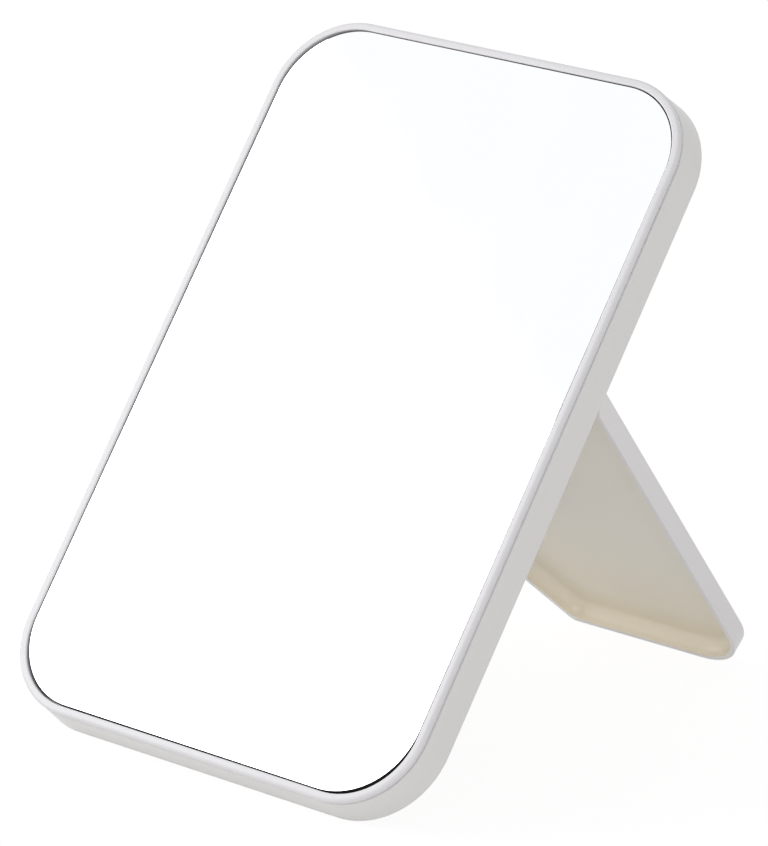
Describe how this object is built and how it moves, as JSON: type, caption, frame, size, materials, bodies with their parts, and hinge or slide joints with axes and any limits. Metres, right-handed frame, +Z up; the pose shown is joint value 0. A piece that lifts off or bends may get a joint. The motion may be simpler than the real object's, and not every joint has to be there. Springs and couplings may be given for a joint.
{
  "type": "tabletop mirror",
  "caption": "Folding tabletop mirror: portrait glass in a thin off-white plastic casing with round corners, leaning back on a tray-shaped leg hinged across its back.",
  "frame": {"origin": "on the floor, under the middle of the box of the standing mirror", "axes": "+Z up, the glass faces -Y and upwards, +X is the right-hand side seen from the front, the leg goes back along +Y"},
  "size_m": [0.162, 0.2012, 0.2055],
  "materials": {
    "casing_plastic": "off-white, satin moulded",
    "leg_plastic": "off-white, satin moulded, slightly warmer inside the tray",
    "silvered_glass": "polished float glass, silvered on its back",
    "foam": "closed-cell foam tape",
    "plated_steel": "bright zinc plating",
    "spring_steel": "plain spring steel"
  },
  "bodies": {
    "panel": {"front_bezel": "casing_plastic", "mirror_glass": "silvered_glass", "rear_casing": "casing_plastic", "foam_strip_bottom": "foam", "foam_strip_right": "foam", "foam_strip_top": "foam", "foam_strip_left": "foam", "hinge_bracket_left": "plated_steel", "hinge_pin_left": "plated_steel", "wear_washer_left": "spring_steel", "wave_washer_left": "spring_steel", "pin_clip_left": "spring_steel", "bracket_screw_left_lower": "plated_steel", "bracket_screw_left_upper": "plated_steel", "hinge_bracket_right": "plated_steel", "hinge_pin_right": "plated_steel", "wear_washer_right": "spring_steel", "wave_washer_right": "spring_steel", "pin_clip_right": "spring_steel", "bracket_screw_right_lower": "plated_steel", "bracket_screw_right_upper": "plated_steel"},
    "leg": {"stand_leg": "leg_plastic"}
  },
  "joints": [
    {"name": "leg_hinge", "type": "hinge", "parent": "panel", "child": "leg", "pos_m": [0, 0.00361, 0.1142], "axis": [1, 0, 0], "range_deg": [-78, 0]}
  ]
}
